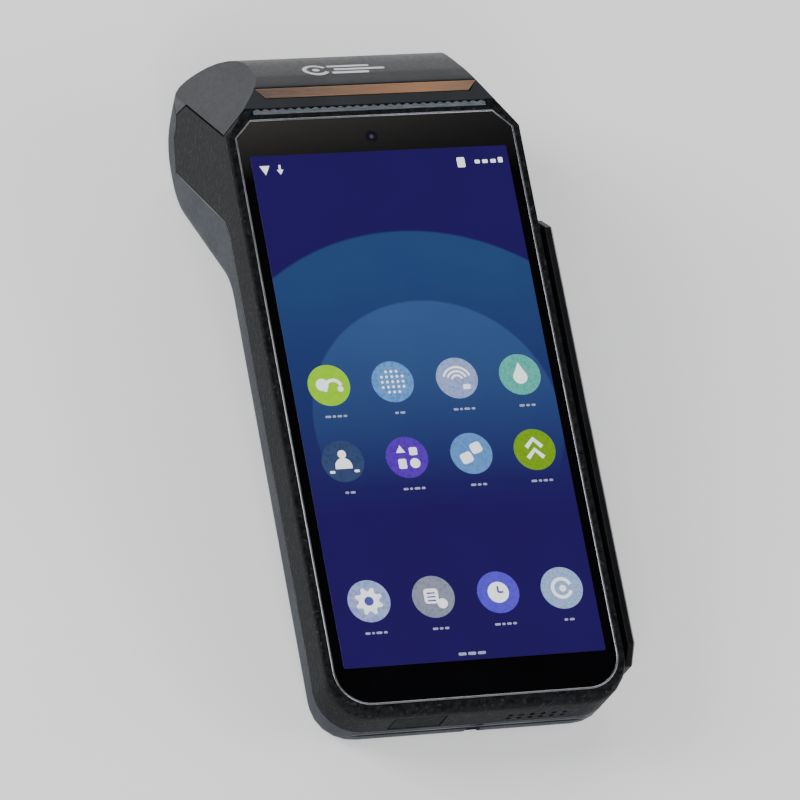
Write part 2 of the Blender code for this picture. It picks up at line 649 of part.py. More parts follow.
def gear_train():
    idler_phase = mesh_phase(PLATEN_YZ, PLATEN_TEETH, 0.0, IDLER_YZ, IDLER_TEETH)
    transfer_phase = mesh_phase(IDLER_YZ, IDLER_TEETH, idler_phase, TRANSFER_YZ, TRANSFER_TEETH)
    pinion_phase = mesh_phase(TRANSFER_YZ, TRANSFER_TEETH, transfer_phase, MOTOR_YZ, PINION_TEETH)
    gear("platen_gear", PLATEN_TEETH, PLATEN_YZ, 0.0, 1.55, WHITE_PLASTIC)
    gear("idler_gear", IDLER_TEETH, IDLER_YZ, idler_phase, 1.05, WHITE_PLASTIC)
    gear("transfer_gear", TRANSFER_TEETH, TRANSFER_YZ, transfer_phase, 1.05, WHITE_PLASTIC)
    gear("motor_pinion", PINION_TEETH, MOTOR_YZ, pinion_phase, 0.8, BRASS)
    for name, centre in (("idler_axle", IDLER_YZ), ("transfer_axle", TRANSFER_YZ)):
        cylinder(name, "X", (0.0, *centre), 1.0, 25.2, 28.4, STEEL, steps=16)


def printer_chassis():
    """Two side plates joined by a cross bar, carrying the gear axles and the motor."""
    plate = [(47.0, -4.1), (72.4, -4.1), (72.4, -12.0), (66.0, -13.4), (62.3, -17.4), (60.0, -22.0),
             (47.0, -22.0)]
    chassis = prism("printer_chassis", plate, "X", 27.65, 28.5, STEEL)
    join(chassis, prism("left_plate", plate, "X", -28.5, -27.65),
         box("cross_bar", (-28.0, 47.0, -4.9), (28.0, 51.8, -4.1)))
    for name, centre in (("idler_hole", IDLER_YZ), ("transfer_hole", TRANSFER_YZ)):
        subtract(chassis, cylinder(name, "X", (0.0, *centre), 1.1, 27.0, 29.0, steps=16))


def paper_cradle():
    """Trough that holds the paper roll."""
    outer, inner, steps = ROLL_RADIUS + 1.7, ROLL_RADIUS + 0.8, 14
    low, high = math.radians(150), math.radians(300)
    angles = [low + (high - low) * step / steps for step in range(steps + 1)]
    arc = [(radius, angle) for radius, order in ((outer, angles), (inner, angles[::-1])) for angle in order]
    points = [(ROLL_YZ[0] + radius * math.cos(angle), ROLL_YZ[1] + radius * math.sin(angle))
              for radius, angle in arc]
    prism("paper_cradle", points, "X", -29.2, 29.2, BLACK_PLASTIC)


def paper():
    ring("paper_roll", "X", (0.0, *ROLL_YZ), ROLL_RADIUS, 6.2, -ROLL_HALF, ROLL_HALF, PAPER, steps=48)
    ring("paper_core", "X", (0.0, *ROLL_YZ), 5.9, 4.9, -ROLL_HALF, ROLL_HALF, CARDBOARD, steps=32)


def platen():
    centre = (0.0, *PLATEN_YZ)
    ring("platen_roller", "X", centre, PLATEN_RADIUS, 1.6, -PLATEN_HALF, PLATEN_HALF, RUBBER, steps=28)
    cylinder("platen_shaft", "X", centre, 1.5, -26.0, 27.2, STEEL, steps=20)
    bracket = box("platen_bracket", (-25.2, 75.1, -3.3), (25.2, 79.0, -2.5), STEEL)
    for side, name in ((-1, "left"), (1, "right")):
        ends = sorted((side * 24.5, side * 25.4))
        join(bracket, box(f"ear_{name}", (ends[0], 73.9, -12.2), (ends[1], 78.8, -2.9)))
        subtract(bracket, cylinder(f"bush_seat_{name}", "X", centre, 2.3, ends[0] - 0.5, ends[1] + 0.2))
        ring(f"platen_bush_{name}", "X", centre, 2.2, 1.56, *ends, BRASS)


def print_head():
    box("print_head", (-24.0, 72.0, -12.9), (24.0, 72.9, -4.2), CERAMIC)
    box("heat_sink", (-24.0, 70.2, -12.2), (24.0, 71.7, -4.2), ALUMINIUM)
    box("head_spring", (-18.0, 68.6, -10.0), (18.0, 69.0, -6.0), BRASS)


def motor():
    cylinder("stepper_motor", "X", (0.0, *MOTOR_YZ), 6.0, 12.0, 25.0, STEEL, steps=28, chamfer=0.5)
    cylinder("motor_shaft", "X", (0.0, *MOTOR_YZ), 0.75, 25.3, 27.3, STEEL, steps=12)


def hinge_pins():
    for side, name in ((-1, "hinge_pin_left"), (1, "hinge_pin_right")):
        ends = sorted((side * 29.5, side * 34.9))
        cylinder(name, "X", (0.0, *HINGE_YZ), PIN_RADIUS, *ends, STEEL, steps=16)


front_housing()
rear_housing()
printer_door()
feet()
front_stack()
tear_bar()
mid_frame()
screws()
boards()
card_reader()
battery()
rear_camera()
lower_end()
swipe_rail()
magnetic_head()
buttons()
gear_train()
printer_chassis()
paper_cradle()
paper()
platen()
print_head()
motor()
hinge_pins()
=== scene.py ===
import json
import math

import bmesh
import bpy
from mathutils import Matrix, Vector
from mathutils.bvhtree import BVHTree


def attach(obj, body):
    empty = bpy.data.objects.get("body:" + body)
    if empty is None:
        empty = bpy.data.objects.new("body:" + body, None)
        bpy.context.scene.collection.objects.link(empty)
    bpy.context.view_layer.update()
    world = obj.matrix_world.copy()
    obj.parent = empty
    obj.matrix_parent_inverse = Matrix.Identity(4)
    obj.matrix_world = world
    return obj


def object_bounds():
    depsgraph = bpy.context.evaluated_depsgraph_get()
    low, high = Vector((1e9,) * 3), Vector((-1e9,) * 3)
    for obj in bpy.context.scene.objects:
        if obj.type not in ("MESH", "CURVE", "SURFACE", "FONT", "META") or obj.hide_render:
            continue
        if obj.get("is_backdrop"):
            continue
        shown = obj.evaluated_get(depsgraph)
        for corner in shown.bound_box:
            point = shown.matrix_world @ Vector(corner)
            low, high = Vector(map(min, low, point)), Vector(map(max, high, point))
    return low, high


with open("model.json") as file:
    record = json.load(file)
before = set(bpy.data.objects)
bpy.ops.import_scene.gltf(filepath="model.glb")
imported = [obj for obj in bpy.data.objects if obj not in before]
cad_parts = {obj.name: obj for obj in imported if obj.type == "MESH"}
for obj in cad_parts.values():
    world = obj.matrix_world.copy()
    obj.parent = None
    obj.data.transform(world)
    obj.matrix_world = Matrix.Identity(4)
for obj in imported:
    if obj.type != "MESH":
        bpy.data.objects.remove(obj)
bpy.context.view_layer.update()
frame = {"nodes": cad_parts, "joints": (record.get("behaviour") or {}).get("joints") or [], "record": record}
nodes = frame["nodes"]

# ---------------------------------------------------------------- device frame
# The terminal rests tilted on its feet. Shapes below are given in the device frame, in millimetres: x to the
# right, y towards the printer head, z out of the screen, with the origin in the middle of the cover glass.
MM = 0.001
MM_PER_METRE = 1000
joints = {joint["name"]: joint for joint in frame["joints"]}
_, slide_y, slide_z = joints["battery_latch_slide"]["axis"]
TILT = math.atan2(-slide_z, -slide_y)
PLATEN_CENTRE = Vector((0.0, 76.6, -9.2)) * MM
TURN = Matrix.Rotation(TILT, 4, "X")
ORIGIN = Vector(joints["platen_spin"]["pos_m"]) - TURN @ PLATEN_CENTRE
DEVICE = Matrix.Translation(ORIGIN) @ TURN
DEVICE_MM = DEVICE @ Matrix.Scale(MM, 4)


def spot(x, y, z):
    """A point of the device frame, in millimetres, as a place in the scene."""
    return DEVICE_MM @ Vector((x, y, z))


# ---------------------------------------------------------------- materials


def linear(value):
    """Linear light of one sRGB channel, 0 to 255."""
    value /= 255
    return value / 12.92 if value <= 0.04045 else ((value + 0.055) / 1.055) ** 2.4


def colour(red, green, blue):
    """An sRGB colour as the linear colour that shaders take."""
    return (linear(red), linear(green), linear(blue), 1.0)


class Look:
    """A procedural material. Its textures are laid out in device millimetres."""

    def __init__(self, name, rough, metal=0.0, **sockets):
        self.material = bpy.data.materials.new(name)
        self.material.use_nodes = True
        self.tree = self.material.node_tree
        self.shader = self.tree.nodes["Principled BSDF"]
        self.shader.inputs["Roughness"].default_value = rough
        self.shader.inputs["Metallic"].default_value = metal
        for socket, value in sockets.items():
            self.shader.inputs[socket.replace("_", " ")].default_value = value
        place = self.node("ShaderNodeTexCoord")
        turned = self.node("ShaderNodeMapping")
        turned.inputs["Scale"].default_value = (MM_PER_METRE, MM_PER_METRE, MM_PER_METRE)
        turned.inputs["Rotation"].default_value = (-TILT, 0, 0)
        turned.inputs["Location"].default_value = TURN.inverted() @ (ORIGIN * -MM_PER_METRE)
        self.link(place.outputs["Object"], turned.inputs["Vector"])
        self.place = turned.outputs["Vector"]

    def node(self, kind):
        return self.tree.nodes.new(kind)

    def link(self, source, target):
        self.tree.links.new(source, target)

    def feed(self, source, target):
        """Links a socket, or sets a plain value."""
        if isinstance(source, bpy.types.NodeSocket):
            self.link(source, target)
        else:
            target.default_value = source

    def stretched(self, x, y, z):
        """The texture place scaled along each axis: a small scale draws a texture out along it."""
        mapping = self.node("ShaderNodeMapping")
        mapping.inputs["Scale"].default_value = (x, y, z)
        self.link(self.place, mapping.inputs["Vector"])
        return mapping.outputs["Vector"]

    def noise(self, scale, detail=3.0, rough=0.55, place=None):
        texture = self.node("ShaderNodeTexNoise")
        texture.inputs["Scale"].default_value = scale
        texture.inputs["Detail"].default_value = detail
        texture.inputs["Roughness"].default_value = rough
        self.link(place or self.place, texture.inputs["Vector"])
        return texture.outputs["Fac"]

    def cells(self, scale, feature="F1"):
        texture = self.node("ShaderNodeTexVoronoi")
        texture.feature = feature
        texture.inputs["Scale"].default_value = scale
        self.link(self.place, texture.inputs["Vector"])
        return texture.outputs["Distance"]

    def bands(self, scale, direction, warp=0.0):
        """Straight waves that follow each other along an axis."""
        texture = self.node("ShaderNodeTexWave")
        texture.bands_direction = direction
        texture.inputs["Scale"].default_value = scale
        texture.inputs["Distortion"].default_value = warp
        self.link(self.place, texture.inputs["Vector"])
        return texture.outputs["Fac"]

    def rings(self, scale, warp, y, z):
        """Waves in rings round a line that runs along x through (y, z)."""
        centred = self.node("ShaderNodeVectorMath")
        centred.operation = "SUBTRACT"
        centred.inputs[1].default_value = (0, y, z)
        self.link(self.place, centred.inputs[0])
        texture = self.node("ShaderNodeTexWave")
        texture.wave_type = "RINGS"
        texture.rings_direction = "X"
        texture.inputs["Scale"].default_value = scale
        texture.inputs["Distortion"].default_value = warp
        self.link(centred.outputs[0], texture.inputs["Vector"])
        return texture.outputs["Fac"]

    def maths(self, operation, first, second=0.0, third=0.0):
        step = self.node("ShaderNodeMath")
        step.operation = operation
        for value, socket in zip((first, second, third), step.inputs):
            self.feed(value, socket)
        return step.outputs[0]

    def ramp(self, factor, *stops):
        """A value or colour that goes through the stops, given as (position, colour or grey)."""
        chain = self.node("ShaderNodeValToRGB")
        elements = chain.color_ramp.elements
        while len(elements) < len(stops):
            elements.new(1.0)
        for element, (position, shade) in zip(elements, stops):
            element.position = position
            element.color = shade if isinstance(shade, tuple) else (shade, shade, shade, 1)
        self.link(factor, chain.inputs["Fac"])
        return chain.outputs["Color"]

    def mixed(self, factor, first, second):
        mix = self.node("ShaderNodeMix")
        mix.data_type = "RGBA"
        self.feed(factor, mix.inputs[0])
        self.feed(first, mix.inputs[6])
        self.feed(second, mix.inputs[7])
        return mix.outputs[2]

    def axis(self, index):
        parts = self.node("ShaderNodeSeparateXYZ")
        self.link(self.place, parts.inputs[0])
        return parts.outputs[index]

    def distance(self, x, y):
        """How far a surface point is from (x, y), in millimetres and seen along z."""
        flat = self.node("ShaderNodeVectorMath")
        flat.operation = "MULTIPLY"
        flat.inputs[1].default_value = (1, 1, 0)
        self.link(self.place, flat.inputs[0])
        gap = self.node("ShaderNodeVectorMath")
        gap.operation = "DISTANCE"
        gap.inputs[1].default_value = (x, y, 0)
        self.link(flat.outputs[0], gap.inputs[0])
        return gap.outputs["Value"]

    def paint(self, source):
        self.feed(source, self.shader.inputs["Base Color"])
        return self

    def shine(self, source):
        self.feed(source, self.shader.inputs["Roughness"])
        return self

    def relief(self, height, strength, depth):
        """Bump of the given height field; depth is in millimetres."""
        bump = self.node("ShaderNodeBump")
        bump.inputs["Strength"].default_value = strength
        bump.inputs["Distance"].default_value = depth * MM
        self.link(height, bump.inputs["Height"])
        self.link(bump.outputs["Normal"], self.shader.inputs["Normal"])
        return self

    def glow(self, source, strength):
        self.feed(source, self.shader.inputs["Emission Color"])
        self.shader.inputs["Emission Strength"].default_value = strength
        return self


def grained_plastic(name, dark, light, tip_highlight, rough, cell, depth, amount):
    """Moulded plastic with a pebbled grain, mottled tone and lighter tips on some of its pebbles, painted as
    highlights.

    cell is the size of a pebble and depth its height, in millimetres; amount is the strength of the painted
    highlights on the tips.
    """
    look = Look(name, rough, Specular_IOR_Level=0.06)
    pebbles = look.cells(1 / cell, "SMOOTH_F1")
    patches = look.noise(0.55 / cell, 2.0)
    tone = look.mixed(look.ramp(patches, (0.36, 0.0), (0.66, 1.0)), dark, light)
    # Lighter tips on some pebbles: painted highlights of the grain.
    tips = look.ramp(pebbles, (0.12, 1.0), (0.34, 0.0))
    chosen = look.ramp(look.noise(0.8 / cell, 1.0), (0.50, 0.0), (0.62, amount))
    look.paint(look.mixed(look.maths("MULTIPLY", tips, chosen), tone, tip_highlight))
    look.shine(look.ramp(patches, (0.3, rough - 0.08), (0.7, rough + 0.10)))
    return look.relief(pebbles, 0.55, -depth)


def fine_plastic(name, dark, light, rough, grain=0.35, depth=0.02, **sockets):
    """Satin moulded plastic: faint tone changes and a very fine spark-eroded grain, in millimetres."""
    look = Look(name, rough, **sockets)
    clouds = look.noise(0.09, 4.0)
    look.paint(look.mixed(look.ramp(clouds, (0.35, 0.0), (0.68, 1.0)), dark, light))
    look.shine(look.ramp(look.noise(0.9, 5.0), (0.3, rough - 0.06), (0.7, rough + 0.07)))
    return look.relief(look.noise(1 / grain, 2.0), 0.5, depth)


BRUSH = 0.04


def brushed_metal(name, dark, light, rough, along="X", scale=9.0):
    """Metal with fine hairs drawn out along one axis."""
    look = Look(name, rough, 1.0)
    stretch = {"X": (BRUSH, 1, 1), "Y": (1, BRUSH, 1)}[along]
    hairs = look.noise(scale, 4.0, 0.6, look.stretched(*stretch))
    look.paint(look.mixed(look.ramp(hairs, (0.3, 0.0), (0.7, 1.0)), dark, light))
    look.shine(look.ramp(hairs, (0.3, rough - 0.08), (0.7, rough + 0.12)))
    return look.relief(hairs, 0.25, 0.02)


looks = {}
looks["black_plastic"] = grained_plastic(
    "front_housing_plastic", colour(12, 13, 15), colour(30, 31, 34), colour(74, 76, 80), 0.52, 0.75, 0.1, 0.55
)
looks["rail_plastic"] = fine_plastic(
    "rail_plastic", colour(14, 14, 16), colour(24, 24, 27), 0.42, 0.5, 0.03, Specular_IOR_Level=0.12
)
looks["hood_plastic"] = fine_plastic(
    "hood_plastic", colour(46, 48, 51), colour(53, 55, 58), 0.4, 0.3, 0.015, Specular_IOR_Level=0.12
)
looks["shell_plastic"] = fine_plastic(
    "shell_plastic", colour(48, 52, 58), colour(56, 60, 66), 0.44, 0.4, 0.025, Specular_IOR_Level=0.08
)
looks["white_plastic"] = fine_plastic("white_plastic", colour(205, 204, 198), colour(224, 223, 217), 0.42)
looks["rubber"] = fine_plastic("rubber", colour(20, 20, 21), colour(36, 36, 37), 0.82, 0.45, 0.04)
looks["battery_wrap"] = fine_plastic("battery_wrap", colour(28, 52, 96), colour(40, 68, 118), 0.3, 0.8, 0.02)
looks["flap_rubber"] = grained_plastic(
    "flap_rubber", colour(12, 13, 15), colour(28, 29, 32), colour(66, 68, 72), 0.6, 0.75, 0.08, 0.4
)
looks["tear_steel"] = brushed_metal("tear_bar_steel", colour(120, 128, 136), colour(172, 180, 188), 0.5)
looks["steel"] = brushed_metal("brushed_steel", colour(150, 151, 154), colour(196, 197, 200), 0.32)
looks["aluminium"] = brushed_metal(
    "cast_aluminium", colour(168, 170, 174), colour(200, 202, 206), 0.42, "Y", 4.0
)
looks["brass"] = brushed_metal("brass", colour(176, 138, 70), colour(214, 178, 104), 0.28)
looks["copper_foil"] = brushed_metal("copper_foil", colour(176, 108, 66), colour(214, 146, 98), 0.34, "Y")

# Black glass with a painted reflection: greyer towards the printer head (over SHEEN_LENGTH, from SHEEN_START)
# and towards the left.
SHEEN_START, SHEEN_LENGTH = 56, 16
SHEEN_MIDDLE, SHEEN_WIDTH = 0.62, 110
glass = Look("cover_glass", 0.06, Specular_IOR_Level=0.3)
haze = glass.ramp(glass.noise(0.05, 3.0), (0.35, 0.0), (0.7, 1.0))
upper = glass.maths("MULTIPLY_ADD", glass.axis(1), 1 / SHEEN_LENGTH, -SHEEN_START / SHEEN_LENGTH)
across = glass.maths("MULTIPLY_ADD", glass.axis(0), -1 / SHEEN_WIDTH, SHEEN_MIDDLE)
painted_reflection = glass.maths("MULTIPLY", glass.ramp(upper, (0.0, 0.0), (1.0, 1.0)), across)
# The grey mixed in at the head end is a painted reflection.
glass.paint(glass.mixed(painted_reflection, glass.mixed(haze, colour(2, 2, 3), colour(6, 6, 8)), colour(58, 56, 54)))
glass.shine(glass.ramp(glass.noise(0.35, 4.0), (0.35, 0.05), (0.75, 0.11)))
looks["cover_glass"] = glass

panel = Look("display_panel", 0.12, Coat_Weight=0.4)
panel.paint(panel.mixed(panel.bands(6.0, "X"), colour(10, 11, 24), colour(16, 17, 36)))
looks["display"] = panel

lens = Look("lens_glass", 0.05, Coat_Weight=1.0, Coat_Roughness=0.02)
lens.paint(lens.mixed(lens.noise(1.2, 2.0), colour(6, 6, 12), colour(24, 22, 44)))
looks["lens_glass"] = lens

# Copper, darker towards its left end; TRIM_WIDTH is the length of the strip along x.
TRIM_WIDTH = 54
copper = Look("copper_trim", 0.42, 0.6)
hairs = copper.noise(10.0, 4.0, 0.6, copper.stretched(0.03, 1, 1))
run = copper.maths("MULTIPLY_ADD", copper.axis(0), 1 / TRIM_WIDTH, 0.5)
copper.paint(copper.mixed(
    copper.ramp(hairs, (0.3, 0.0), (0.7, 0.35)),
    copper.ramp(run, (0.0, colour(84, 78, 76)), (0.3, colour(136, 108, 92)), (0.75, colour(196, 144, 108)),
                (1.0, colour(150, 118, 98))),
    colour(230, 188, 156),
))
copper.shine(copper.ramp(hairs, (0.3, 0.36), (0.7, 0.52))).relief(hairs, 0.2, 0.02)
looks["copper_finish"] = copper

board = Look("circuit_board", 0.34, Coat_Weight=0.3, Coat_Roughness=0.2)
tracks = board.maths("GREATER_THAN", board.bands(0.55, "X", warp=3.0), 0.72)
crossing = board.maths("GREATER_THAN", board.bands(0.42, "Y", warp=2.4), 0.80)
copper_side = board.maths("MAXIMUM", tracks, crossing)
board.paint(board.mixed(copper_side, colour(18, 74, 46), colour(34, 104, 66))).relief(copper_side, 0.4, 0.03)
looks["circuit_board"] = board

# Paper wound in layers round the line through (ROLL_Y, ROLL_Z).
ROLL_Y, ROLL_Z = 75.5, -27.2
paper = Look("thermal_paper", 0.62, Sheen_Weight=0.1)
layers = paper.rings(0.55, 0.25, ROLL_Y, ROLL_Z)
fibres = paper.noise(2.4, 5.0)
sheet = paper.mixed(paper.ramp(fibres, (0.3, 0.0), (0.7, 1.0)), colour(226, 224, 218), colour(244, 243, 239))
paper.paint(paper.mixed(paper.ramp(layers, (0.1, 0.45), (0.5, 0.0)), sheet, colour(176, 172, 164)))
paper.relief(layers, 0.3, 0.04)
looks["paper"] = paper

card = Look("cardboard_core", 0.8)
pulp = card.noise(1.1, 5.0)
card.paint(card.mixed(pulp, colour(140, 112, 82), colour(184, 154, 118))).relief(pulp, 0.4, 0.05)
looks["cardboard"] = card

ceramic = Look("glazed_ceramic", 0.22)
glaze = ceramic.noise(0.7, 3.0)
ceramic.paint(ceramic.mixed(glaze, colour(170, 168, 160), colour(204, 202, 194))).relief(glaze, 0.15, 0.02)
looks["ceramic"] = ceramic

# Metal of the camera and flash bezels. On the bead round the glass, its light grey paints the highlight of
# the bezel's edge.
rim = brushed_metal("bezel_metal_and_rim_highlight", colour(112, 114, 118), colour(168, 170, 174), 0.34, "Y")

# ---------------------------------------------------------------- carried-over CAD nodes
# Their shape stays; near-flat faces are merged and sharp edges get a small bevel, in millimetres.
slot_of = {row["node"]: row["material_slot"] for row in frame["record"]["subparts"]}
SMALL_BEVEL = 0.12
BEVELS = {
    "front_housing": 0.35, "rear_housing": 0.35, "printer_door": 0.3, "battery_door": 0.25, "swipe_rail": 0.3,
    "tear_bar": 0.08, "cover_glass": 0.18, "display_panel": 0.1,
}
WELD_METRES = 2e-6
FLAT_DEGREES, EDGE_DEGREES = 0.8, 32
OWN_LOOKS = {"usb_flap": "flap_rubber", "tear_bar": "tear_steel"}
for name, node in nodes.items():
    for face in node.data.polygons:
        face.use_smooth = True
    weld = node.modifiers.new("weld", "WELD")
    weld.merge_threshold = WELD_METRES
    flats = node.modifiers.new("flats", "DECIMATE")
    flats.decimate_type = "DISSOLVE"
    flats.angle_limit = math.radians(FLAT_DEGREES)
    bevel = node.modifiers.new("bevel", "BEVEL")
    bevel.width = BEVELS.get(name, SMALL_BEVEL) * MM
    bevel.segments = 2
    bevel.limit_method = "ANGLE"
    bevel.angle_limit = math.radians(EDGE_DEGREES)
    bevel.use_clamp_overlap = True
    bevel.miter_outer = "MITER_ARC"
    shading = node.modifiers.new("shading", "WEIGHTED_NORMAL")
    shading.weight = 60
    shading.keep_sharp = False
    node.data.materials.clear()
    node.data.materials.append(looks[OWN_LOOKS.get(name, slot_of[name])].material)

# ---------------------------------------------------------------- outlines and plates


def circle(x, y, radius, count=40):
    """A closed outline, as all the outlines here, anticlockwise from the right."""
    return [(x + radius * math.cos(math.tau * i / count), y + radius * math.sin(math.tau * i / count))
            for i in range(count)]


def oblong(x, y, width, height, radius, turn=0.0, count=6):
    """A rounded rectangle round (x, y), turned anticlockwise by turn degrees."""
    corners = []
    for quarter in range(4):
        start = math.pi / 2 * quarter
        cx = (width / 2 - radius) * (1 if quarter in (0, 3) else -1)
        cy = (height / 2 - radius) * (1 if quarter in (0, 1) else -1)
        for i in range(count + 1):
            angle = start + math.pi / 2 * i / count
            corners.append((cx + radius * math.cos(angle), cy + radius * math.sin(angle)))
    cosine, sine = math.cos(math.radians(turn)), math.sin(math.radians(turn))
    return [(x + px * cosine - py * sine, y + px * sine + py * cosine) for px, py in corners]


def stroke(points, width):
    """A ribbon of constant width along the points, as one outline."""
    left, right = [], []
    for i, (px, py) in enumerate(points):
        before, after = points[max(i - 1, 0)], points[min(i + 1, len(points) - 1)]
        dx, dy = after[0] - before[0], after[1] - before[1]
        length = math.hypot(dx, dy) or 1
        nx, ny = -dy / length * width / 2, dx / length * width / 2
        left.append((px + nx, py + ny))
        right.append((px - nx, py - ny))
    return right + left[::-1]


def arc(x, y, radius, start, end, count=14):
    """Points of an open arc between two angles in degrees."""
    angles = [math.radians(start + (end - start) * i / count) for i in range(count + 1)]
    return [(x + radius * math.cos(a), y + radius * math.sin(a)) for a in angles]


def toothed(x, y, inner, outer, teeth):
    """A wheel outline with square teeth."""
    points = []
    for i in range(teeth * 4):
        radius = outer if i % 4 in (1, 2) else inner
        angle = math.tau * (i + 0.5) / (teeth * 4)
        points.append((x + radius * math.cos(angle), y + radius * math.sin(angle)))
    return points


def signed_area(points):
    """Area of an outline, negative where it runs clockwise."""
    return sum(a[0] * b[1] - b[0] * a[1] for a, b in zip(points, points[1:] + points[:1])) / 2


def plates(name, outlines, low, high, look, body="terminal", chamfer=0.0, matrix=DEVICE_MM):
    """Flat raised shapes from low to high along z of the matrix's frame; a chamfer goes round their tops."""
    mesh = bmesh.new()
    for outline in outlines:
        outline = list(outline) if signed_area(outline) > 0 else list(outline)[::-1]
        bottom = [mesh.verts.new((x, y, low)) for x, y in outline]
        top = [mesh.verts.new((x, y, high - chamfer)) for x, y in outline]
        count = len(outline)
        for i in range(count):
            mesh.faces.new((bottom[i], bottom[(i + 1) % count], top[(i + 1) % count], top[i]))
        cap = mesh.faces.new(top)
        mesh.faces.new(bottom[::-1])
        if chamfer:
            cap.normal_update()
            bmesh.ops.inset_region(mesh, faces=[cap], thickness=chamfer, depth=chamfer)
    return finished(name, mesh, look, body, matrix)


def finished(name, mesh, look, body="terminal", matrix=DEVICE_MM, smooth=False):
    """Turns built geometry into a piece that rides on a body."""
    for face in mesh.faces:
        face.smooth = smooth
    data = bpy.data.meshes.new(name)
    mesh.to_mesh(data)
    mesh.free()
    data.transform(matrix)
    data.materials.append(look.material)
    piece = bpy.data.objects.new(name, data)
    bpy.context.scene.collection.objects.link(piece)
    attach(piece, body)
    return piece


BEAD_SIDES = 8


def bead(name, path, radius, look, body="terminal", closed=False):
    """A round bead that follows a path of device points."""
    mesh = bmesh.new()
    points = [Vector(p) for p in path]
    count = len(points)
    sides = range(BEAD_SIDES)
    rings = []
    normal = None
    for i, point in enumerate(points):
        before = points[(i - 1) % count] if closed or i else points[i]
        after = points[(i + 1) % count] if closed or i < count - 1 else points[i]
        tangent = (after - before).normalized()
        if normal is None:
            normal = tangent.orthogonal().normalized()
        normal = (normal - tangent * normal.dot(tangent)).normalized()
        sideways = tangent.cross(normal)
        rings.append([mesh.verts.new(point + radius * (normal * math.cos(a) + sideways * math.sin(a)))
                      for a in (math.tau * k / BEAD_SIDES for k in sides)])
    pairs = list(zip(rings, rings[1:] + rings[:1])) if closed else list(zip(rings, rings[1:]))
    shift = 0
    for number, (first, second) in enumerate(pairs):
        if closed and number == count - 1:
            # The last ring may have turned against the first, so the nearest corners are joined.
            gaps = [sum((first[k].co - second[(k + s) % BEAD_SIDES].co).length for k in sides) for s in sides]
            shift = gaps.index(min(gaps))
        for k in sides:
            mesh.faces.new((first[k], first[(k + 1) % BEAD_SIDES], second[(k + 1 + shift) % BEAD_SIDES],
                            second[(k + shift) % BEAD_SIDES]))
    if not closed:
        mesh.faces.new(rings[0])
        mesh.faces.new(rings[-1][::-1])
    bmesh.ops.recalc_face_normals(mesh, faces=mesh.faces)
    return finished(name, mesh, look, body, smooth=True)


# ---------------------------------------------------------------- rim and screen
GLASS_HALF_WIDTH, GLASS_LOW, GLASS_HIGH, GLASS_CUT, GLASS_CORNER = 33.6, -70.9, 71.2, 4.2, 8.0


def glass_line(grow, z):
    """The cover glass outline, grown by a little: round lower corners and cut upper corners."""
    x, low, high = GLASS_HALF_WIDTH + grow, GLASS_LOW - grow, GLASS_HIGH + grow
    radius = GLASS_CORNER + grow
    left = arc(-x + radius, low + radius, radius, 180, 270, 12)
    right = arc(x - radius, low + radius, radius, 270, 360, 12)
    cuts = [(x, high - GLASS_CUT), (x - GLASS_CUT, high), (-x + GLASS_CUT, high), (-x, high - GLASS_CUT)]
    return [(px, py, z) for px, py in left + right + cuts]


# A light metal bead round the cover glass paints the highlight on the bezel's rounded edge.
RIM_GROW, RIM_Z, RIM_RADIUS = 0.17, -0.14, 0.27
bead("glass_rim_highlight", glass_line(RIM_GROW, RIM_Z), RIM_RADIUS, rim, closed=True)

# The picture lies on the glass in thin layers. These are the heights of their tops.
SCREEN_WIDTH, SCREEN_LOW, SCREEN_HIGH = 62.4, -62.4, 62.4
IMAGE_TOP, CAPTION_TOP, ICON_TOP, MARK_TOP, DETAIL_TOP = 0.03, 0.045, 0.05, 0.065, 0.075
wallpaper = Look("screen_wallpaper", 0.09, Specular_IOR_Level=0.3)
height = wallpaper.axis(1)
NAVY = colour(38, 22, 92)


def fade(high, low):
    """1 above high, 0 below low, in device y, with a soft turn at the top."""
    share = wallpaper.maths("DIVIDE", wallpaper.maths("SUBTRACT", height, low), high - low)
    return wallpaper.maths("SMOOTH_MIN", 1.0, wallpaper.maths("MAXIMUM", 0.0, share), 0.1)


def inside(x, y, radius, soft=0.5):
    """1 within a circle, 0 outside it, over a soft edge in millimetres."""
    gap = wallpaper.maths("SUBTRACT", radius, wallpaper.distance(x, y))
    share = wallpaper.maths("DIVIDE", gap, soft)
    return wallpaper.maths("MINIMUM", 1.0, wallpaper.maths("MAXIMUM", 0.0, share))


outer_disc = wallpaper.maths("MULTIPLY", inside(0.9, -13.6, 56.0), fade(34.0, -26.0))
inner_disc = wallpaper.maths("MULTIPLY", inside(2.0, -5.0, 30.0), fade(22.0, -20.0))
sky = wallpaper.mixed(outer_disc, NAVY, colour(44, 74, 122))
sky = wallpaper.mixed(inner_disc, sky, colour(58, 92, 142))
fleck = wallpaper.ramp(wallpaper.noise(0.05, 2.0), (0.3, 0.0), (0.7, 0.16))
sky = wallpaper.mixed(fleck, sky, colour(40, 30, 110))
wallpaper.paint(wallpaper.mixed(0.8, sky, colour(0, 0, 0))).glow(sky, 0.8)
screen = oblong(0, (SCREEN_LOW + SCREEN_HIGH) / 2, SCREEN_WIDTH, SCREEN_HIGH - SCREEN_LOW, 0.4)
plates("screen_image", [screen], 0.0, IMAGE_TOP, wallpaper, chamfer=0.01)


def lit(name, first, second, cell, power=0.85):
    """A lit screen colour with a little texture in it."""
    look = Look(name, 0.1, Specular_IOR_Level=0.3)
    shade = look.mixed(look.ramp(look.cells(cell), (0.2, 0.0), (0.6, 1.0)), first, second)
    return look.paint(look.mixed(0.8, shade, colour(0, 0, 0))).glow(shade, power)


